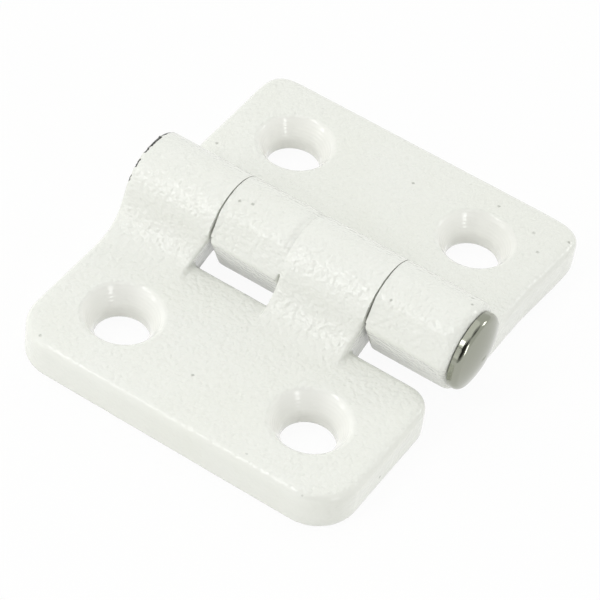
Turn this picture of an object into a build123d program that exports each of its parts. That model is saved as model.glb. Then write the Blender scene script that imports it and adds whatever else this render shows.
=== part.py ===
from build123d import *

import os
from math import acos, atan2, cos, degrees, hypot, pi, radians, sin, sqrt

# Butt hinge: two cast leaves that share one barrel and turn on a headed pin. All sizes are in millimetres.
# The origin is under the middle of the pin, on the plane that the leaves' backs lie on with the hinge open
# flat. X runs along the pin towards its head, Y across the leaves and Z out of the mounting plane.

# Leaf plates
LEAF_LENGTH = 50.0
LEAF_REACH = 31.2
LEAF_THICKNESS = 5.8
OUTER_CORNER_RADIUS = 6.0
INNER_CORNER_RADIUS = 3.5
TOP_EDGE_FILLET = 1.2
BACK_EDGE_FILLET = 0.4

# Barrel, as lengths along the pin from the far end
BARREL_RADIUS = 6.4
AXIS_HEIGHT = 8.9
FIRST_KNUCKLE_LENGTH = 13.5
SECOND_KNUCKLE_LENGTH = 10.75
THIRD_KNUCKLE_LENGTH = 13.0
OPEN_JOINT_GAP = 0.2
CLOSED_JOINT_GAP = 0.08
LEAF_TO_BARREL_GAP = 0.5
NECK_FILLET = 6.0
OPEN_JOINT_FILLET = 0.5
CLOSED_JOINT_FILLET = 0.15

# Flat along the lower front of each knuckle, as angles from level at the pin
FLAT_TOP_ANGLE = 8.0
FLAT_BOTTOM_ANGLE = 58.0

# Screw holes
HOLE_SPACING = 29.0
HOLE_TO_AXIS = 20.3
HOLE_RADIUS = 3.65
COUNTERSINK_RADIUS = 5.3
COUNTERSINK_DEPTH = 2.9
COUNTERSINK_RIM_FILLET = 0.9

# Pin
PIN_RADIUS = 3.0
PIN_RUNNING_CLEARANCE = 0.05
PIN_PRESS_INTERFERENCE = 0.02
PIN_END_RECESS = 0.3
PIN_END_CHAMFER = 0.4
HEAD_RADIUS = 5.45
HEAD_THICKNESS = 2.3
HEAD_DOME_RADIUS = 14.0
HEAD_EDGE_FILLET = 0.9
HEAD_PLAY = 0.06

MODEL_TOLERANCE = 1e-4

# Worked out from the sizes above
HALF_LENGTH = LEAF_LENGTH / 2
INNER_EDGE = BARREL_RADIUS + LEAF_TO_BARREL_GAP
FIRST_END = -HALF_LENGTH + FIRST_KNUCKLE_LENGTH
SECOND_START = FIRST_END + OPEN_JOINT_GAP
SECOND_END = SECOND_START + SECOND_KNUCKLE_LENGTH
THIRD_START = SECOND_END + CLOSED_JOINT_GAP
THIRD_END = THIRD_START + THIRD_KNUCKLE_LENGTH
FOURTH_START = THIRD_END + OPEN_JOINT_GAP
NECK_REACH = BARREL_RADIUS + NECK_FILLET
NECK_RISE = LEAF_THICKNESS + NECK_FILLET - AXIS_HEIGHT
NECK_END = sqrt(NECK_REACH**2 - NECK_RISE**2)
CORNER_START = LEAF_REACH - OUTER_CORNER_RADIUS


def on_barrel(turn):
    """Point of the barrel's outline at a turn in degrees from +Y, as (y, z)."""
    angle = radians(turn)
    return (BARREL_RADIUS * cos(angle), AXIS_HEIGHT + BARREL_RADIUS * sin(angle))


def knuckle_profile(plate_end):
    """Section of a knuckle, its neck and the plate as far as plate_end, for a leaf on the +Y side."""
    share = BARREL_RADIUS / NECK_REACH
    neck_start = (NECK_END * share, AXIS_HEIGHT + NECK_RISE * share)
    neck_middle_angle = (atan2(NECK_RISE, NECK_END) + pi / 2) / 2 + pi / 2
    neck_middle = (
        NECK_END + NECK_FILLET * cos(neck_middle_angle + pi / 2),
        LEAF_THICKNESS + NECK_FILLET + NECK_FILLET * sin(neck_middle_angle + pi / 2),
    )
    neck_end = (NECK_END, LEAF_THICKNESS)

    # The underside is a straight ramp from the plate's inner edge, tangent to the barrel
    to_edge = hypot(INNER_EDGE, AXIS_HEIGHT)
    ramp_angle = -degrees(atan2(AXIS_HEIGHT, INNER_EDGE) + acos(BARREL_RADIUS / to_edge))
    flat_bottom = FLAT_BOTTOM_ANGLE - 180
    flat_top = 180 - FLAT_TOP_ANGLE
    return make_face(
        [
            Line(on_barrel(flat_bottom), on_barrel(flat_top)),
            ThreePointArc(on_barrel(flat_top), on_barrel(90), neck_start),
            ThreePointArc(neck_start, neck_middle, neck_end),
            Polyline(neck_end, (plate_end, LEAF_THICKNESS), (plate_end, 0), (INNER_EDGE, 0)),
            Line((INNER_EDGE, 0), on_barrel(ramp_angle)),
            ThreePointArc(
                on_barrel(ramp_angle), on_barrel((ramp_angle + flat_bottom) / 2), on_barrel(flat_bottom)
            ),
        ]
    )


def knuckle_block(start, end):
    """One knuckle between two places along the pin, with its neck and a strip of plate, edges sharp."""
    return extrude(Plane.YZ.offset(start) * knuckle_profile(CORNER_START), end - start)


def edges_at(body, axis, place):
    """Edges whose middle lies at a place along an axis."""
    return body.edges().filter_by_position(axis, place - MODEL_TOLERANCE, place + MODEL_TOLERANCE)


def section_edges(block, place):
    """Edges over the top and front of a knuckle at one end of it, leaving out its underside."""
    return edges_at(block, Axis.X, place).filter_by(lambda edge: (edge @ 0.5).Z > AXIS_HEIGHT / 2)


def knuckle(start, end, end_radius):
    """A knuckle block rounded for an open joint at its first end and by end_radius at the other."""
    block = knuckle_block(start, end)
    block = fillet(section_edges(block, start), OPEN_JOINT_FILLET)
    return fillet(section_edges(block, end), end_radius)


def plate():
    """Flat plate of a leaf on the +Y side, open for the knuckle that is flush with its +X end."""
    middle_y = (INNER_EDGE + LEAF_REACH) / 2
    outline = Pos(0, middle_y) * Rectangle(LEAF_LENGTH, LEAF_REACH - INNER_EDGE)
    outline = fillet(outline.vertices().group_by(Axis.Y)[-1], OUTER_CORNER_RADIUS)
    outline = fillet(outline.vertices().group_by(Axis.Y)[0].sort_by(Axis.X)[0], INNER_CORNER_RADIUS)
    body = extrude(outline, LEAF_THICKNESS)
    body = fillet(body.faces().sort_by(Axis.Z)[-1].edges(), TOP_EDGE_FILLET)
    body = fillet(body.faces().sort_by(Axis.Z)[0].edges(), BACK_EDGE_FILLET)
    strip = 2 * TOP_EDGE_FILLET
    end_strip = Pos(HALF_LENGTH - strip / 2, CORNER_START / 2) * Rectangle(strip, CORNER_START)
    return body - extrude(end_strip, LEAF_THICKNESS)


def screw_hole():
    """Countersunk hole as the tool that cuts it, with its axis on Z and its mouth at the plate's top."""
    through = Pos(0, 0, LEAF_THICKNESS / 2) * Cylinder(HOLE_RADIUS, 2 * LEAF_THICKNESS)
    cone = Cone(HOLE_RADIUS, COUNTERSINK_RADIUS, COUNTERSINK_DEPTH)
    return through + Pos(0, 0, LEAF_THICKNESS - COUNTERSINK_DEPTH / 2) * cone


def along_pin(start, end, radius):
    """Cylinder on the pin's axis between two places along it."""
    middle = Pos((start + end) / 2, 0, AXIS_HEIGHT)
    return middle * Rot(0, 90, 0) * Cylinder(radius, end - start)


def leaf(end_knuckle, inner_knuckle, end_bore, inner_bore):
    """A leaf on the +Y side with one knuckle flush at its +X end and one further in."""
    body = plate() + knuckle(*end_knuckle, TOP_EDGE_FILLET) + knuckle(*inner_knuckle, CLOSED_JOINT_FILLET)
    for place in (-HOLE_SPACING / 2, HOLE_SPACING / 2):
        body -= Pos(place, HOLE_TO_AXIS, 0) * screw_hole()
    mouths = edges_at(body, Axis.Z, LEAF_THICKNESS).filter_by(lambda edge: edge.is_closed)
    body = fillet(mouths, COUNTERSINK_RIM_FILLET)
    body -= along_pin(*end_knuckle, end_bore)
    body -= along_pin(*inner_knuckle, inner_bore)
    return body


def head_section():
    """Half section of the pin's head, with X along the pin from the head's back and Y outwards."""
    dome_centre = HEAD_THICKNESS - HEAD_DOME_RADIUS
    rim_corner = (dome_centre + sqrt(HEAD_DOME_RADIUS**2 - HEAD_RADIUS**2), HEAD_RADIUS)
    dome_middle = (dome_centre + sqrt(HEAD_DOME_RADIUS**2 - (HEAD_RADIUS / 2) ** 2), HEAD_RADIUS / 2)
    section = make_face(
        [
            Polyline((HEAD_THICKNESS, 0), (0, 0), (0, HEAD_RADIUS), rim_corner),
            ThreePointArc(rim_corner, dome_middle, (HEAD_THICKNESS, 0)),
        ]
    )
    rim = section.vertices().group_by(Axis.Y)[-1].sort_by(Axis.X)[-1]
    return fillet(rim, HEAD_EDGE_FILLET)


def hinge_pin():
    """Headed pin: its low dome stands off the barrel's +X end and its tail stops inside the other end."""
    tail = -HALF_LENGTH + PIN_END_RECESS
    head_back = HALF_LENGTH + HEAD_PLAY
    shank = along_pin(tail, head_back, PIN_RADIUS)
    shank = chamfer(shank.edges().sort_by(Axis.X)[0], PIN_END_CHAMFER)
    return shank + Pos(head_back, 0, AXIS_HEIGHT) * revolve(head_section(), Axis.X)


if __name__ == "__main__":
    os.makedirs("parts", exist_ok=True)
    running_bore = PIN_RADIUS + PIN_RUNNING_CLEARANCE
    press_bore = PIN_RADIUS - PIN_PRESS_INTERFERENCE
    swing_leaf = leaf((FOURTH_START, HALF_LENGTH), (SECOND_START, SECOND_END), running_bore, running_bore)
    # The other leaf is drawn the same way round, then turned about Z to lie on the -Y side
    fixed_leaf = Rot(0, 0, 180) * leaf(
        (-FIRST_END, HALF_LENGTH), (-THIRD_END, -THIRD_START), press_bore, running_bore
    )
    nodes = {"fixed_leaf": fixed_leaf, "swing_leaf": swing_leaf, "hinge_pin": hinge_pin()}
    for name, solid in nodes.items():
        solid.label = name
        print(name, solid.is_valid, round(solid.volume, 1), len(solid.solids()))
        export_step(solid, f"parts/{name}.step")
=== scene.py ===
# %% [markdown]
# # Butt hinge in textured white
# A flat cast hinge: two leaves whose knuckles interlock on one headed pin. The pin's solid is shown as
# it is. The leaves are remade as shells over their solids, with the softness of a thick coat. The first
# step loads the imported model.

import math

import bmesh
import bpy
from mathutils import Matrix, Quaternion, Vector, noise


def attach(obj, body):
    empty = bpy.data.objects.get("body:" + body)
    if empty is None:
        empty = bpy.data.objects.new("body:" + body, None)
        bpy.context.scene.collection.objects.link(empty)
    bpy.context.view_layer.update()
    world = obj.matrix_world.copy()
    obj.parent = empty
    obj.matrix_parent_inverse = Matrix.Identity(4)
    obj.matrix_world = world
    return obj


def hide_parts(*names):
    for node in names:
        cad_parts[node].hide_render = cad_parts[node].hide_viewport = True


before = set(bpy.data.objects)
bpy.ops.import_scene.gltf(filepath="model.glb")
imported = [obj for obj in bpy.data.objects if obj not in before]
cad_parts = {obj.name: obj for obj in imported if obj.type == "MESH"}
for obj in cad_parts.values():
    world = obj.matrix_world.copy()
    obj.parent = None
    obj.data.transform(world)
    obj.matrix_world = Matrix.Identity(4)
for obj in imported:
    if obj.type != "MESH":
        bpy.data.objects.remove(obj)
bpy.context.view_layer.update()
MM = 0.001

# %% [markdown]
# ## Camera
# The picture was taken from the front right, well above the hinge, with a long lens and the camera
# tipped a little to one side. A pinhole camera fitted to the hole rims and edges gives the eye, the
# point that it looks at, the lens and the tip. Setting them as plain numbers keeps the view exact.

# %% Camera
EYE_MM = Vector((116.74, -230.53, 277.13))
LOOK_AT_MM = Vector((-0.37, 0.84, 0.0))
LENS_MM = 171.18
SENSOR_MM = 36.0
TIP_DEGREES = 8.83
NEAREST_SEEN_MM = 20.0


def new_object(name, data):
    """New object around a mesh, lamp or camera, linked to the scene."""
    item = bpy.data.objects.new(name, data)
    bpy.context.scene.collection.objects.link(item)
    return item


line_of_sight = (LOOK_AT_MM - EYE_MM) * MM
camera_data = bpy.data.cameras.new("photo_camera")
camera_data.lens = LENS_MM
camera_data.sensor_width = SENSOR_MM
camera_data.clip_start = NEAREST_SEEN_MM * MM
camera = new_object("photo_camera", camera_data)
camera.location = EYE_MM * MM
camera.rotation_mode = "QUATERNION"
level = line_of_sight.to_track_quat("-Z", "Y")
camera.rotation_quaternion = level @ Quaternion((0, 0, 1), math.radians(TIP_DEGREES))
bpy.context.scene.camera = camera
bpy.context.scene.view_settings.view_transform = "Standard"
print("camera", round(line_of_sight.length, 3), "m from the hinge")

# %% [markdown]
# ## Depth of the coat
# Powder coat is thick: once baked, it rounds every cast edge, fills the inside corners and lies a
# little wavy. Bevels would look too even for that. Each leaf is therefore remade with small even
# faces, whose points can be smoothed and pushed about, and smooth noise says how far the coat dips at
# a point. The countersinks were turned, so they stay true.

# %% Depth of the coat
WAVE_MM, WAVE_HEIGHT_MM = 5.0, 0.04
PEEL_MM, PEEL_HEIGHT_MM = 1.2, 0.025
HOLE_PLACE_MM = Vector((14.5, 20.3))
COUNTERSINK_RIM_MM = 5.8


def dip(point_mm, pitch_mm, depth_mm):
    """Depth of a smooth random dip at a point, between none and depth_mm."""
    return depth_mm * (0.5 + 0.5 * noise.noise(point_mm / pitch_mm))


def coat_depth(point_mm):
    """How far the coat lies under the solid's face at a point, none in a countersink."""
    from_hole = (Vector((abs(point_mm.x), abs(point_mm.y))) - HOLE_PLACE_MM).length
    if from_hole < COUNTERSINK_RIM_MM:
        return 0.0
    return dip(point_mm, WAVE_MM, WAVE_HEIGHT_MM) + dip(point_mm, PEEL_MM, PEEL_HEIGHT_MM)


print("the coat dips by up to", round(WAVE_HEIGHT_MM + PEEL_HEIGHT_MM, 3), "mm")

# %% [markdown]
# ## Crisp end of the first knuckle
# The end of the first knuckle kept a crisper edge than the rest of the casting, while smoothing rounds
# every edge alike. Leaving these points out of the smoothing would keep the steps of the voxels, so
# the rounded edge is pushed back out instead: it is read as a quarter circle, and each point moves to
# the same place on a squared circle. The change fades out below, where the end runs into the plate.

# %% Crisp end
CHIPPED_END_MM = -25.0
END_ROUNDING_MM = 1.2
END_SQUARENESS = 6
CRISP_FROM_MM, CRISP_FULL_MM = 6.0, 9.0


def ramp(value, start, end):
    """Share of the way from start to end, held between none and all."""
    return max(0.0, min(1.0, (value - start) / (end - start)))


def squared_reach(turn, squareness):
    """Reach of a squared circle at an angle, as a share of the plain circle's radius."""
    return (math.cos(turn) ** squareness + math.sin(turn) ** squareness) ** (-1 / squareness)


def crisp_end(vert):
    """Square up the rounded end of the first knuckle and its neck, within the solid's end."""
    place = vert.co / MM
    squared = squared_reach(math.asin(ramp(-vert.normal.x, 0.0, 1.0)), END_SQUARENESS)
    share = ramp(place.z, CRISP_FROM_MM, CRISP_FULL_MM)
    if place.x < CHIPPED_END_MM + END_ROUNDING_MM:
        vert.co += vert.normal * END_ROUNDING_MM * (squared - 1) * share * MM
        vert.co.x = max(vert.co.x, CHIPPED_END_MM * MM)


print("the end is crisp above", CRISP_FULL_MM, "mm")

# %% [markdown]
# ## Chips on the first knuckle's rim
# Knocks have broken the coat off the rim of that end, down to dark metal. Paint alone could darken the
# rim, but broken coat leaves a step, so the points inside a chip sink a little. Each chip is a stretch
# of the rim between two angles about the pin. How far a point lies inside a chip is kept on the mesh,
# and the material frays that edge.

# %% Chips
PIN_HEIGHT_MM = 8.9
BARREL_RADIUS_MM = 6.4
CHIP_DEPTH_MM = 0.12

# First and last angle from +Y in degrees, and reach in millimetres from the rim
CHIPS = ((46, 77, 0.6), (79, 100, 0.7), (101, 112, 0.55), (122, 133, 0.45), (142, 153, 0.38))


def chip_reach(point_mm):
    """Distance of a point inside the nearest chip's edge, negative outside every chip."""
    rise = point_mm.z - PIN_HEIGHT_MM
    angle = math.degrees(math.atan2(rise, point_mm.y))
    mm_per_degree = math.radians(BARREL_RADIUS_MM)
    inside = BARREL_RADIUS_MM - math.hypot(point_mm.y, rise)
    from_rim = point_mm.x - CHIPPED_END_MM + max(0.0, inside)
    return max(
        min(reach - from_rim, (angle - first) * mm_per_degree, (last - angle) * mm_per_degree)
        for first, last, reach in CHIPS
    )


print("chips", len(CHIPS))

# %% [markdown]
# ## Swing leaf's corners and free fronts
# The swing leaf's outer corners are tighter than its solid's, its edge by the pin's head leans out a
# little, and the free fronts of its knuckles are slightly flat. These are small changes to faces that
# are already there, so they are made by moving points: the corners grow towards squared circles, the
# lean fades in towards the far corner, and a plane holds the fronts back.

# %% Swing leaf's corners and free fronts
CORNER_CENTRE_MM = Vector((19.0, 25.2))
CORNER_SQUARENESS = 3.8
LEAN_FROM_MM = Vector((20.3, 16.0))
LEAN_TO_MM = Vector((25.0, 31.2))
LEAN_MM = 1.0
FREE_FRONT_DEGREES = 62.0
FREE_FRONT_MM = 5.95


def square_corners(vert):
    """Tighten the swing leaf's two outer corners and lean its edge by the pin's head out a little."""
    place = vert.co / MM
    across = Vector((abs(place.x), place.y)) - CORNER_CENTRE_MM
    if min(across) > 0:
        turn = math.atan2(across.y, across.x)
        corner = CORNER_CENTRE_MM + across * squared_reach(turn, CORNER_SQUARENESS)
        place.x, place.y = math.copysign(corner.x, place.x), corner.y
    lean_along = ramp(place.x, LEAN_FROM_MM.x, LEAN_TO_MM.x)
    lean_across = ramp(place.y, LEAN_FROM_MM.y, LEAN_TO_MM.y)
    place.x += LEAN_MM * (lean_along * lean_across)
    vert.co = place * MM


def flatten_front(vert):
    """Hold a point of the swing leaf behind the slightly flat free front of its knuckles."""
    facing = math.radians(FREE_FRONT_DEGREES)
    outward = Vector((0.0, -math.sin(facing), math.cos(facing)))
    from_axis = vert.co / MM - Vector((0.0, 0.0, PIN_HEIGHT_MM))
    past = from_axis.dot(outward) - FREE_FRONT_MM
    if past > 0:
        vert.co -= outward * past * MM


print("free fronts are", FREE_FRONT_MM, "mm from the pin's axis")

# %% [markdown]
# ## Slots in front of the swing leaf's knuckles
# The table shows through two slots between the fixed leaf and the swing leaf's knuckles. Castings
# taper so that they leave the mould, and the flanks of the fixed leaf's knuckles are set back towards
# the bottom. The set-back is largest at the flank itself and fades out upwards, inwards and to both
# sides, which a cut with a Boolean couldn't do without leaving an edge.

# %% Slots
SLOT_INSIDE_MM, SLOT_OUTSIDE_MM = 6.0, 3.0
SLOT_LOW_MM, SLOT_HIGH_MM = 2.0, 9.5
SLOT_FRONT_MM = (-14.0, -8.0)
SLOT_BACK_MM = (-0.5, 3.0)

# Place of each flank along the pin, and how far its foot is set back
SLOT_FLANKS_MM = ((-11.5, 2.0), (12.5, 0.85))


def open_slots(vert):
    """Set back the lower flanks of the fixed leaf's knuckles, which bound the two slots."""
    place = vert.co / MM
    low = 1 - ramp(place.z, SLOT_LOW_MM, SLOT_HIGH_MM)
    forward = min(ramp(place.y, *SLOT_FRONT_MM), 1 - ramp(place.y, *SLOT_BACK_MM))
    for flank, set_back in SLOT_FLANKS_MM:
        inside = ramp(place.x, flank - SLOT_INSIDE_MM, flank)
        outside = 1 - ramp(place.x, flank, flank + SLOT_OUTSIDE_MM)
        vert.co.x -= set_back * min(inside, outside) * low * forward * MM


print("slots", len(SLOT_FLANKS_MM))

# %% [markdown]
# ## Joints between the knuckles
# The thick coat runs over the edges of the knuckles into their joints. The middle joint looks filled
# but for a shallow valley, and the other two stay open, wider towards the front, with edges that are a
# little frayed. A strip of its own could bridge a joint, but it would tear when the hinge turns. The
# points near a joint are drawn out to the barrel and up to the joint instead, and each leaf keeps to
# its own side.

# %% Joints
OPEN_JOINTS_MM = (-11.4, 12.63)
OPEN_REACH_MM = 0.55
OPEN_GAP_MM = 0.3
CLOSED_AT_MM, OPEN_AT_MM = 9.0, -6.0
FRAY_MM, FRAY_HEIGHT_MM = 0.7, 0.06
CLOSED_JOINT_MM = -0.51
CLOSED_REACH_MM = 0.9
CLOSED_GAP_MM = 0.004
VALLEY_MM = 0.4
RIM_REACH_MM = 0.75
END_FACE_MM = 0.4
OPEN_BARREL_RISE_MM = 1.6


def fill_joint(vert, joint_mm, reach_mm, gap_mm, valley_mm=0.0, fray_mm=0.0):
    """Narrow a joint to gap_mm and fill its edge out to the barrel, less a valley and dips."""
    place = vert.co / MM
    spoke = Vector((0.0, place.y, place.z - PIN_HEIGHT_MM))
    from_joint = abs(place.x - joint_mm)
    at_rim = abs(spoke.length - BARREL_RADIUS_MM) < RIM_REACH_MM and spoke.z > OPEN_BARREL_RISE_MM
    if not at_rim or from_joint > reach_mm:
        return
    if from_joint < END_FACE_MM:
        place.x = joint_mm + math.copysign(gap_mm / 2, place.x - joint_mm)
    valley = valley_mm * (1 - from_joint / reach_mm)
    radius = BARREL_RADIUS_MM - valley - dip(place, FRAY_MM, fray_mm)
    vert.co = (Vector((place.x, 0.0, PIN_HEIGHT_MM)) + spoke.normalized() * radius) * MM


def fill_joints(vert):
    """Let the coat fill the middle joint and narrow the two open ones."""
    fill_joint(vert, CLOSED_JOINT_MM, CLOSED_REACH_MM, CLOSED_GAP_MM, valley_mm=VALLEY_MM)
    for joint_mm in OPEN_JOINTS_MM:
        gap_mm = OPEN_GAP_MM * ramp(vert.co.y / MM, CLOSED_AT_MM, OPEN_AT_MM)
        fill_joint(vert, joint_mm, OPEN_REACH_MM, gap_mm, fray_mm=FRAY_HEIGHT_MM)


print("open joints at", OPEN_JOINTS_MM, "mm, filled joint at", CLOSED_JOINT_MM, "mm")

# %% [markdown]
# ## Grit
# A few specks of grey dust were baked into the coat. A noise texture would scatter them evenly, but
# the real ones are few and stand apart. Their places are listed instead, and each point of the mesh
# keeps a number that is one on a speck and none away from it, for the material to read.

# %% Grit
GRIT_RADIUS_MM = 0.4
GRIT_MM = {
    "fixed_leaf": (
        (-20.6, -30.0, 5.8), (-1.5, -23.4, 5.8), (11.1, -29.8, 5.6),
        (25.0, -19.8, 2.1), (20.0, -30.6, 5.2),
    ),
    "swing_leaf": (
        (-9.8, -2.0, 15.0), (-8.1, -1.5, 15.1), (14.7, -3.7, 14.2), (22.9, 2.9, 14.6),
        (23.6, 1.4, 15.0), (2.3, 23.9, 5.8), (13.8, 27.6, 5.8), (20.1, 26.3, 5.8),
        (24.7, 27.9, 5.6), (22.3, 23.5, 5.8), (-22.9, 13.2, 5.8),
    ),
}


def grit_share(point_mm, specks_mm):
    """One at the middle of a speck, falling to none at its edge."""
    nearest = min((point_mm - Vector(speck)).length for speck in specks_mm)
    return max(0.0, 1.0 - nearest / GRIT_RADIUS_MM)


print("specks", {name: len(specks) for name, specks in GRIT_MM.items()})

# %% [markdown]
# ## Back edges of the screw holes
# Seen through a screw hole, its back edge is chamfered. A bevel would have to find that edge on a mesh
# of loose triangles, so four cones, one at each hole, are made here as one object, and the next step
# cuts them out of both leaves with a Boolean. The middle of each cone lies on the backs and sets the
# chamfer.

# %% Back chamfers
HOLE_RADIUS_MM = 3.65
BACK_CHAMFER_MM = 1.1
CONE_SIDES = 64


def finished_mesh(shape, name):
    """Mesh of a bmesh, which is freed."""
    mesh = bpy.data.meshes.new(name)
    shape.to_mesh(mesh)
    shape.free()
    return mesh


def back_chamfers():
    """Four cones that cut the back edges of the screw holes, as one object."""
    shape = bmesh.new()
    for turn_x in (-1, 1):
        for turn_y in (-1, 1):
            place = Vector((turn_x * HOLE_PLACE_MM.x, turn_y * HOLE_PLACE_MM.y, 0.0)) * MM
            bmesh.ops.create_cone(
                shape,
                cap_ends=True,
                segments=CONE_SIDES,
                radius1=(HOLE_RADIUS_MM + 2 * BACK_CHAMFER_MM) * MM,
                radius2=HOLE_RADIUS_MM * MM,
                depth=2 * BACK_CHAMFER_MM * MM,
                matrix=Matrix.Translation(place),
            )
    return new_object("back_chamfers", finished_mesh(shape, "back_chamfers"))


print("back chamfers", BACK_CHAMFER_MM, "mm")

# %% [markdown]
# ## Even faces for a leaf
# A solid from CAD has long thin triangles, which can't be smoothed or waved. A copy of it is merged,
# cut and remeshed into voxels, which gives small even faces but blurs the edges. A Shrinkwrap then
# lays these faces back on the cut solid, so that the countersinks and the flats are true again.

# %% Even faces
FACE_SIZE_MM = 0.27
MERGE_MM = 0.001


def even_faces(node_name):
    """Mesh of a leaf's solid in small even faces, with the back edges of its holes chamfered."""
    shape = bmesh.new()
    shape.from_mesh(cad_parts[node_name].data)
    bmesh.ops.remove_doubles(shape, verts=shape.verts, dist=MERGE_MM * MM)
    rough = finished_mesh(shape, "rough_" + node_name)
    casting = new_object("rough_" + node_name, rough)
    carrier = new_object("even_" + node_name, rough)
    cutter = back_chamfers()
    for item in (casting, carrier):
        chamfer = item.modifiers.new("back_chamfers", "BOOLEAN")
        chamfer.operation = "DIFFERENCE"
        chamfer.object = cutter
    remesh = carrier.modifiers.new("even_faces", "REMESH")
    remesh.mode = "VOXEL"
    remesh.voxel_size = FACE_SIZE_MM * MM
    true_faces = carrier.modifiers.new("true_faces", "SHRINKWRAP")
    true_faces.target = casting
    evaluated = carrier.evaluated_get(bpy.context.evaluated_depsgraph_get())
    even = bpy.data.meshes.new_from_object(evaluated)
    for item in (casting, carrier, cutter):
        bpy.data.objects.remove(item)
    return even


print("faces are", FACE_SIZE_MM, "mm wide")

# %% [markdown]
# ## Casting under the coat
# A casting has no knife-sharp edges, and the coat softens them further. Each leaf gets its own
# corners, fronts or slots, and then a few smoothing passes draw every point towards its neighbours.
# Bevels would need each edge to be picked, and they would stop where edges meet, while smoothing runs
# on through.

# %% Casting under the coat
SMOOTHING_PASSES = 6
SMOOTHING_SHARE = 0.5


def soft_casting(node_name):
    """Bmesh of a leaf with its corners and fronts or its slots made, and every edge softened."""
    shape = bmesh.new()
    shape.from_mesh(even_faces(node_name))
    for vert in shape.verts:
        if node_name == "swing_leaf":
            square_corners(vert)
            flatten_front(vert)
        else:
            open_slots(vert)
    for _ in range(SMOOTHING_PASSES):
        bmesh.ops.smooth_vert(
            shape,
            verts=shape.verts,
            factor=SMOOTHING_SHARE,
            use_axis_x=True,
            use_axis_y=True,
            use_axis_z=True,
        )
    shape.normal_update()
    return shape


print("smoothing passes", SMOOTHING_PASSES)

# %% [markdown]
# ## Coat and its damage
# The coat goes on in the order of the real one: it dips, fills the joints, and is then chipped. Every
# change follows the normal that the casting had, so that no change bends the next. The distance inside
# a chip and the grit stay on the points as attributes. Slivers left at the joints are dissolved, so
# that the mesh is clean.

# %% Coat and its damage
SLIVER_MM = 0.01


def lay_coat(shape, node_name):
    """Lay the coat on a leaf's casting, chip it and keep its chips and grit on the points."""
    grit = shape.verts.layers.float.new("grit")
    chip = shape.verts.layers.float.new("chip")
    for vert in shape.verts:
        vert.co -= vert.normal * coat_depth(vert.co / MM) * MM
        fill_joints(vert)
        if node_name == "swing_leaf":
            flatten_front(vert)
        else:
            crisp_end(vert)
        vert[chip] = chip_reach(vert.co / MM)
        if vert[chip] > 0:
            vert.co -= vert.normal * CHIP_DEPTH_MM * MM
        vert[grit] = grit_share(vert.co / MM, GRIT_MM[node_name])
    bmesh.ops.dissolve_degenerate(shape, edges=shape.edges, dist=SLIVER_MM * MM)


print("chips are", CHIP_DEPTH_MM, "mm deep")

# %% [markdown]
# ## Coated leaves
# Each shell takes its solid's place: the solid is hidden, and the shell hangs from the empty of its
# leaf's body, fixed or swing. Shading is smooth except over edges that are truly sharp, such as the rims
# inside the joints.

# %% Coated leaves
SHARP_EDGE_DEGREES = 55.0


def leaf_shell(node_name):
    """A leaf's solid under its coat, as a new piece on the leaf's body, with the solid hidden."""
    shape = soft_casting(node_name)
    lay_coat(shape, node_name)
    mesh = finished_mesh(shape, node_name + "_coated")
    mesh.shade_smooth()
    mesh.set_sharp_from_angle(angle=math.radians(SHARP_EDGE_DEGREES))
    piece = new_object(node_name + "_coated", mesh)
    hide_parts(node_name)
    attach(piece, "fixed" if node_name == "fixed_leaf" else "swing")
    return piece


leaves = [leaf_shell("fixed_leaf"), leaf_shell("swing_leaf")]
print("shells", {leaf.name: len(leaf.data.polygons) for leaf in leaves})

# %% [markdown]
# ## Helpers for materials
# Colours are written as the hex values that a colour picker shows, and a shader wants linear light, so
# one function turns one into the other by the sRGB curve. A second one adds a node, sets it and links
# it in one step, and a third starts an empty material. A finish then reads from top to bottom like a
# recipe.

# %% Colour and node helpers
def linear(hex_code):
    """Linear RGBA of an sRGB hex colour."""
    channels = [int(hex_code[start:start + 2], 16) / 255 for start in (0, 2, 4)]
    light = [c / 12.92 if c <= 0.04045 else ((c + 0.055) / 1.055) ** 2.4 for c in channels]
    return (*light, 1.0)


def add_node(tree, kind, inputs=None, **settings):
    """New node with its settings; an input is a value or another node's output socket."""
    node = tree.nodes.new(kind)
    for name, value in settings.items():
        setattr(node, name, value)
    for key, value in (inputs or {}).items():
        if isinstance(value, bpy.types.NodeSocket):
            tree.links.new(value, node.inputs[key])
        else:
            node.inputs[key].default_value = value
    return node


def new_material(name):
    """Empty node material with its output node."""
    material = bpy.data.materials.new(name)
    material.use_nodes = True
    tree = material.node_tree
    tree.nodes.clear()
    return material, tree, add_node(tree, "ShaderNodeOutputMaterial")


print("white is", linear("FFFFFF"))

# %% [markdown]
# ## Textured white powder coat
# The leaves are die-cast zinc under a white powder coat. Baked powder flows into a fine orange peel, a
# plastic film that is glossy between its bumps, so every highlight breaks into glints. Faces small
# enough for it would be too many, so the peel is a bump in the material, over waves that are real. The
# first step finds how far a point lies from its screw hole, as the countersinks have no peel.

# %% Where the coat is textured
TEXTURE_FADE_MM = 0.7

coat, tree, output = new_material("white_powder_coat")
place = add_node(tree, "ShaderNodeTexCoord").outputs["Object"]
height_above_back = add_node(tree, "ShaderNodeSeparateXYZ", {0: place}).outputs["Z"]

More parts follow.
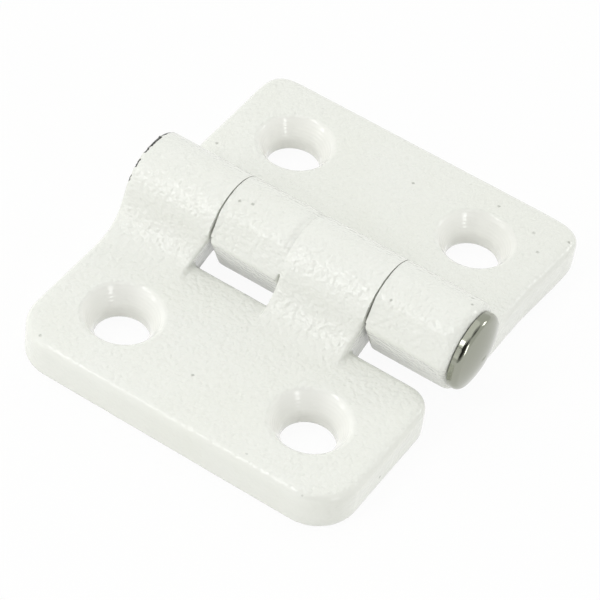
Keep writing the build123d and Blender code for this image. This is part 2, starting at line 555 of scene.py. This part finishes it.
# The four holes mirror into one, and only the distance across its axis counts
mirrored = add_node(tree, "ShaderNodeVectorMath", {0: place}, operation="ABSOLUTE")
from_hole = add_node(
    tree,
    "ShaderNodeVectorMath",
    {0: mirrored.outputs["Vector"], 1: (HOLE_PLACE_MM.x * MM, HOLE_PLACE_MM.y * MM, 0.0)},
    operation="SUBTRACT",
)
flattened = add_node(
    tree,
    "ShaderNodeVectorMath",
    {0: from_hole.outputs["Vector"], 1: (1.0, 1.0, 0.0)},
    operation="MULTIPLY",
)
hole_distance = add_node(
    tree, "ShaderNodeVectorMath", {0: flattened.outputs["Vector"]}, operation="LENGTH"
)
textured = add_node(
    tree,
    "ShaderNodeMapRange",
    {
        "Value": hole_distance.outputs["Value"],
        "From Min": (COUNTERSINK_RIM_MM - TEXTURE_FADE_MM) * MM,
        "From Max": COUNTERSINK_RIM_MM * MM,
    },
).outputs["Result"]
print("the peel is full from", COUNTERSINK_RIM_MM, "mm off a hole's axis")

# %% [markdown]
# ## Orange peel
# Real peel is about half a millimetre from bump to bump, with finer dust in it. A pattern of cells
# would look like leather, so the peel is a plain noise and the dust a weaker, finer one on top of it,
# each scaled from its size in millimetres.

# %% Orange peel
# The peel is drawn a little coarser than the real one, so that it shows in the render
FINE_PEEL_MM = 0.65
DUST_MM, DUST_SHARE = 0.25, 0.1

fine_peel = add_node(
    tree,
    "ShaderNodeTexNoise",
    {"Vector": place, "Scale": 1 / (FINE_PEEL_MM * MM), "Detail": 1.0},
)
dust = add_node(
    tree,
    "ShaderNodeTexNoise",
    {"Vector": place, "Scale": 1 / (DUST_MM * MM), "Detail": 1.0},
)
grain = add_node(
    tree,
    "ShaderNodeMath",
    {0: dust.outputs["Fac"], 1: DUST_SHARE, 2: fine_peel.outputs["Fac"]},
    operation="MULTIPLY_ADD",
)
print("peel", FINE_PEEL_MM, "mm and dust", DUST_MM, "mm from one bump to the next")

# %% [markdown]
# ## Turning rings
# In the countersinks the coat is smooth and shows faint rings from the turning under it. Cutting them
# into the mesh would take very small faces. Each ring lies at one height above the back, so a sine
# wave of that height draws them all.

# %% Turning rings
# The rings are drawn coarser than a real tool leaves them, so that they show in the render
RING_MM, RING_HEIGHT_MM = 0.45, 0.005
BUMP_HEIGHT_MM = 0.22

turning = add_node(
    tree,
    "ShaderNodeMath",
    {0: height_above_back, 1: 2 * math.pi / (RING_MM * MM)},
    operation="MULTIPLY",
)
wave = add_node(tree, "ShaderNodeMath", {0: turning.outputs["Value"]}, operation="SINE")
rings = add_node(
    tree,
    "ShaderNodeMath",
    {0: wave.outputs["Value"], 1: RING_HEIGHT_MM / BUMP_HEIGHT_MM},
    operation="MULTIPLY",
)
print("rings", RING_MM, "mm from one to the next")

# %% [markdown]
# ## Bump
# One bump node takes the rings in the countersinks and the peel everywhere else, so that both tilt the
# light in the same way. The peel is weaker over the plates' top edges and down their sides, where the
# powder lay thinner.

# %% Bump
SIDE_TOP_MM, PLATE_TOP_MM = 5.4, 5.72
SIDE_SHARE = 0.25

height = add_node(
    tree,
    "ShaderNodeMix",
    {"Factor": textured, "A": rings.outputs["Value"], "B": grain.outputs["Value"]},
    data_type="FLOAT",
)
outer_strength = add_node(
    tree,
    "ShaderNodeMapRange",
    {
        "Value": height_above_back,
        "From Min": SIDE_TOP_MM * MM,
        "From Max": PLATE_TOP_MM * MM,
        "To Min": SIDE_SHARE,
        "To Max": 1.0,
    },
)
strength = add_node(
    tree,
    "ShaderNodeMix",
    {"Factor": textured, "A": 1.0, "B": outer_strength.outputs["Result"]},
    data_type="FLOAT",
)
bump = add_node(
    tree,
    "ShaderNodeBump",
    {
        "Height": height.outputs["Result"],
        "Distance": BUMP_HEIGHT_MM * MM,
        "Strength": strength.outputs["Result"],
    },
)
print("the peel is at", SIDE_SHARE, "of its strength below", SIDE_TOP_MM, "mm")

# %% [markdown]
# ## White
# The white is not quite even: it turns a little warmer in patches about a centimetre wide. One colour
# would look like plastic, so a slow noise mixes two whites that are close together. In the countersinks
# the white is painted lighter: painted light that brightens their walls, which the lamps leave in shade.

# %% White
PATCH_MM = 9.0

patches = add_node(
    tree, "ShaderNodeTexNoise", {"Vector": place, "Scale": 1 / (PATCH_MM * MM), "Detail": 2.0}
)
patched = add_node(
    tree,
    "ShaderNodeMix",
    {"Factor": patches.outputs["Fac"], "A": linear("F2F3EF"), "B": linear("EFF0E9")},
    data_type="RGBA",
)
# The lighter white in the countersinks is painted light for their shaded walls; the warmer patches are
# the coat's own tone
white = add_node(
    tree,
    "ShaderNodeMix",
    {"Factor": textured, "A": linear("FAFAF6"), "B": patched.outputs["Result"]},
    data_type="RGBA",
)
print("patches", PATCH_MM, "mm wide")

# %% [markdown]
# ## Grit in the white
# The grit shows as soft grey specks. The attribute that the mesh keeps is one in the middle of a speck
# and falls off to its edge, so a range of it gives each speck a soft edge and holds back its darkness.

# %% Grit in the white
GRIT_FROM, GRIT_FULL, GRIT_DARKNESS = 0.25, 0.6, 0.5

specks = add_node(tree, "ShaderNodeAttribute", attribute_name="grit")
speck_share = add_node(
    tree,
    "ShaderNodeMapRange",
    {
        "Value": specks.outputs["Fac"],
        "From Min": GRIT_FROM,
        "From Max": GRIT_FULL,
        "To Max": GRIT_DARKNESS,
    },
)
speckled = add_node(
    tree,
    "ShaderNodeMix",
    {
        "Factor": speck_share.outputs["Result"],
        "A": white.outputs["Result"],
        "B": linear("6F7064"),
    },
    data_type="RGBA",
)
print("specks are up to", GRIT_DARKNESS, "grey")

# %% [markdown]
# ## Dark metal in the chips
# A chip bares dark cast metal, and broken coat has a ragged edge. The mesh is too coarse to carry that
# edge, so noise is added to the distance that it keeps, and a narrow range cuts the sum off sharply.

# %% Dark metal in the chips
FLAKE_MM, FLAKE_SHARE = 0.5, 0.5
CHIP_FROM, CHIP_FULL = 0.2, 0.26

flakes = add_node(
    tree, "ShaderNodeTexNoise", {"Vector": place, "Scale": 1 / (FLAKE_MM * MM), "Detail": 2.0}
)
chip_edge = add_node(tree, "ShaderNodeAttribute", attribute_name="chip")
frayed = add_node(
    tree,
    "ShaderNodeMath",
    {0: flakes.outputs["Fac"], 1: FLAKE_SHARE, 2: chip_edge.outputs["Fac"]},
    operation="MULTIPLY_ADD",
)
chips = add_node(
    tree,
    "ShaderNodeMapRange",
    {"Value": frayed.outputs["Value"], "From Min": CHIP_FROM, "From Max": CHIP_FULL},
)
colour = add_node(
    tree,
    "ShaderNodeMix",
    {
        "Factor": chips.outputs["Result"],
        "A": speckled.outputs["Result"],
        "B": linear("30302D"),
    },
    data_type="RGBA",
)
print("flakes", FLAKE_MM, "mm wide")

# %% [markdown]
# ## Coat on the leaves
# A powder coat is a plastic film, so its IOR is about 1.5 and it is no metal. It is fairly glossy, and
# more so in the countersinks, where it lies smooth. What the eye sees is a bright even white with
# small sharp glints on the peel and soft bands in the countersinks.

# %% Powder coat
COAT_IOR = 1.5
COUNTERSINK_ROUGHNESS, PEEL_ROUGHNESS = 0.08, 0.16

roughness = add_node(
    tree,
    "ShaderNodeMapRange",
    {"Value": textured, "To Min": COUNTERSINK_ROUGHNESS, "To Max": PEEL_ROUGHNESS},
)
surface = add_node(
    tree,
    "ShaderNodeBsdfPrincipled",
    {
        "Base Color": colour.outputs["Result"],
        "Roughness": roughness.outputs["Result"],
        "IOR": COAT_IOR,
        "Normal": bump.outputs["Normal"],
    },
)
tree.links.new(surface.outputs["BSDF"], output.inputs["Surface"])
for leaf in leaves:
    leaf.data.materials.append(coat)
print("coat on", [leaf.name for leaf in leaves])

# %% [markdown]
# ## Bright nickel-plated steel
# The pin's head is polished steel under nickel: a soft mirror with a warm grey tint. What the eye sees
# is mostly the white table and the pale tent, with dark streaks from the tent's openings, and a
# rounded rim that gathers the lamps into a thin bright line. One shader does it, as the head's shape
# does the rest.

# %% Nickel-plated steel
NICKEL_ROUGHNESS = 0.12

nickel, tree, output = new_material("nickel_plated_steel")
surface = add_node(
    tree,
    "ShaderNodeBsdfPrincipled",
    {"Base Color": linear("A0A296"), "Metallic": 1.0, "Roughness": NICKEL_ROUGHNESS},
)
tree.links.new(surface.outputs["BSDF"], output.inputs["Surface"])
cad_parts["hinge_pin"].data.materials.clear()
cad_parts["hinge_pin"].data.materials.append(nickel)
print("nickel on hinge_pin")

# %% [markdown]
# ## Floor
# The hinge lies on a plain white table. The floor is a wide disc just under the leaves. Most of what
# the camera and the pin's mirror see of it is an even white, and the rest takes the light, so the
# hinge keeps a faint shadow and the background needs no extra light.

# %% Floor
FLOOR_RADIUS = 6.0
FLOOR_SIDES = 96
FLOOR_DROP_MM = 0.02
EVEN_WHITE_SHARE = 0.94

shape = bmesh.new()
bmesh.ops.create_circle(shape, cap_ends=True, radius=FLOOR_RADIUS, segments=FLOOR_SIDES)
bmesh.ops.translate(shape, vec=(0, 0, -FLOOR_DROP_MM * MM), verts=shape.verts)
floor = new_object("floor", finished_mesh(shape, "floor"))

table, tree, output = new_material("white_table")
rays = add_node(tree, "ShaderNodeLightPath").outputs
seen = rays["Is Camera Ray"]
for ray in ("Is Glossy Ray", "Is Transmission Ray"):
    either = add_node(tree, "ShaderNodeMath", {0: seen, 1: rays[ray]}, operation="MAXIMUM")
    seen = either.outputs["Value"]
share = add_node(tree, "ShaderNodeMath", {0: seen, 1: EVEN_WHITE_SHARE}, operation="MULTIPLY")
table_top = add_node(tree, "ShaderNodeBsdfDiffuse", {"Color": linear("F4F4F2")})
even_white = add_node(tree, "ShaderNodeEmission", {"Color": linear("FFFFFF"), "Strength": 1.0})
mixed = add_node(
    tree,
    "ShaderNodeMixShader",
    {0: share.outputs["Value"], 1: table_top.outputs["BSDF"], 2: even_white.outputs["Emission"]},
)
tree.links.new(mixed.outputs["Shader"], output.inputs["Surface"])
floor.data.materials.append(table)
print("floor", FLOOR_RADIUS, "m in radius")

# %% [markdown]
# ## Lamps
# The coat's glints and the pin's rim show how the hinge was lit. Six soft lamps stand for that: a wide
# dim one in front, a tall one at the front left, smaller ones low on the left, at the back right and
# at the front right, and a very wide one overhead. They are area lamps, because a lamp's size shows in
# the glints and in the pin. The white table throws the light back up, so even the sides are pale.

# %% Lamps
# Turn from +X and rise in degrees, then distance, width and height in metres, and watts
LAMPS = {
    "front_wide": (-112.0, 24.0, 0.6, 0.5, 0.3, 0.28),
    "front_left": (-117.0, 45.0, 0.6, 0.12, 0.3, 0.6),
    "left_low": (-135.0, 14.0, 0.6, 0.12, 0.16, 0.2),
    "overhead": (160.0, 80.0, 0.7, 1.0, 1.0, 1.2),
    "back_right": (50.0, 22.0, 0.6, 0.12, 0.14, 0.25),
    "front_right": (-20.0, 18.0, 0.6, 0.1, 0.28, 0.4),
}


def direction_of(turn_degrees, rise_degrees):
    """Unit vector from the hinge at a turn from +X and a rise from level."""
    turn, rise = math.radians(turn_degrees), math.radians(rise_degrees)
    return Vector(
        (math.cos(turn) * math.cos(rise), math.sin(turn) * math.cos(rise), math.sin(rise))
    )


for name, (turn, rise, distance, width, lamp_height, watts) in LAMPS.items():
    lamp = bpy.data.lights.new(name, "AREA")
    lamp.shape = "RECTANGLE"
    lamp.size = width
    lamp.size_y = lamp_height
    lamp.energy = watts
    light = new_object(name, lamp)
    towards = direction_of(turn, rise)
    light.location = towards * distance
    light.rotation_mode = "QUATERNION"
    light.rotation_quaternion = (-towards).to_track_quat("-Z", "Y")
print("lamps", sorted(LAMPS))

# %% [markdown]
# ## Tent
# Around the lamps is a pale tent, which the world stands for, with a dim opening towards the camera
# and another overhead. A plain sky would light the coat just as well, but the pin's head would have
# nothing to mirror. The openings give it dark streaks, and they leave the faces that look their way in
# a light shade. Each one is a soft spot on the sky, found from the angle to its middle.

# %% Tent
# Turn and rise of an opening's middle, and where it is fully dim and where it ends, in degrees
OPENINGS = ((-68.0, 36.0, 20.0, 44.0), (25.0, 62.0, 6.0, 26.0))

world = bpy.data.worlds.new("pale_tent")
bpy.context.scene.world = world
world.use_nodes = True
tree = world.node_tree
tree.nodes.clear()
sky = add_node(tree, "ShaderNodeTexCoord").outputs["Generated"]
shade = linear("EBECE9")
for turn, rise, full, edge in OPENINGS:
    nearness = add_node(
        tree, "ShaderNodeVectorMath", {0: sky, 1: direction_of(turn, rise)}, operation="DOT_PRODUCT"
    )
    dimming = add_node(
        tree,
        "ShaderNodeMapRange",
        {
            "Value": nearness.outputs["Value"],
            "From Min": math.cos(math.radians(edge)),
            "From Max": math.cos(math.radians(full)),
        },
    )
    shade = add_node(
        tree,
        "ShaderNodeMix",
        {"Factor": dimming.outputs["Result"], "A": shade, "B": linear("3A3A38")},
        data_type="RGBA",
    ).outputs["Result"]
tent = add_node(tree, "ShaderNodeBackground", {"Color": shade, "Strength": 1.0})
add_node(tree, "ShaderNodeOutputWorld", {"Surface": tent.outputs["Background"]})
print("dim openings in the tent", len(OPENINGS))
